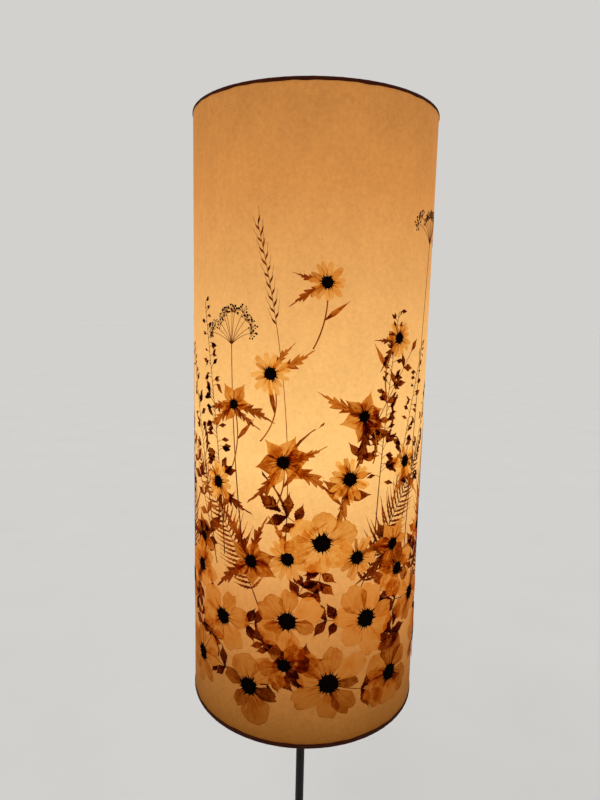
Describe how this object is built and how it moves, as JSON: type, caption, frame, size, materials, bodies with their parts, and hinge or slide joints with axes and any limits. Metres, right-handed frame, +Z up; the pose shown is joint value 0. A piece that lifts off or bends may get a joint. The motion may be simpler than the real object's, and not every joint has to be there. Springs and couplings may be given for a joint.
{
  "type": "floor lamp",
  "caption": "Floor lamp with a tall cylindrical translucent parchment shade on a slim dark stem, a round weighted base and a turn-knob lampholder inside.",
  "frame": {"origin": "on the floor under the middle of the base", "axes": "+Z up along the stem, +Y to the back where the cord inlet and the shade's lap are, +X to the right seen from the front"},
  "size_m": [0.3014, 0.3015, 1.5998],
  "materials": {
    "felt": "matt pressed felt",
    "cast_iron": "raw casting",
    "black_lacquer": "satin black lacquer",
    "rubber": "matt",
    "zinc_steel": "zinc plated",
    "bakelite": "moulded, soft gloss",
    "porcelain": "glazed",
    "brass": "stamped sheet",
    "nickel": "plated",
    "black_glass": "fused",
    "opal_glass": "opal, lit",
    "clear_glass": "clear",
    "tungsten": "drawn wire",
    "frame_wire": "galvanised wire",
    "parchment": "satin, translucent, lit from inside",
    "binding_tape": "narrow woven tape"
  },
  "bodies": {
    "lamp": {"base_pad": "felt", "base_weight": "cast_iron", "base_cover": "black_lacquer", "cord_grommet": "rubber", "base_washer": "zinc_steel", "base_nut": "zinc_steel", "base_nipple": "zinc_steel", "stem_collar": "black_lacquer", "lower_stem": "black_lacquer", "stem_joint_nipple": "zinc_steel", "upper_stem": "black_lacquer", "holder_nipple": "zinc_steel", "holder_cap": "bakelite", "cap_lock_screw": "zinc_steel", "contact_block": "porcelain", "terminal_screws": "brass", "centre_contact": "brass", "screw_shell": "brass", "holder_barrel": "bakelite", "lower_shade_ring": "bakelite", "upper_shade_ring": "bakelite", "switch_spring": "brass", "bulb_contact": "nickel", "bulb_insulator": "black_glass", "bulb_cap": "nickel", "bulb_glass": "opal_glass", "bulb_mount": "clear_glass", "bulb_filament": "tungsten"},
    "switch": {"switch_rotor": "porcelain", "switch_spindle": "brass", "switch_knob": "bakelite"},
    "shade": {"carrier_ring": "frame_wire", "spider_arms": "frame_wire", "bottom_ring": "frame_wire", "top_ring": "frame_wire", "shade_sheet": "parchment", "bottom_binding": "binding_tape", "top_binding": "binding_tape"}
  },
  "joints": [
    {"name": "switch_turn", "type": "hinge", "parent": "lamp", "child": "switch", "pos_m": [0, 0, 1.1015], "axis": [1, 0, 0], "continuous": true},
    {"name": "shade_swivel", "type": "hinge", "parent": "lamp", "child": "shade", "pos_m": [0, 0, 1.1419], "axis": [0, 0, 1], "continuous": true}
  ]
}
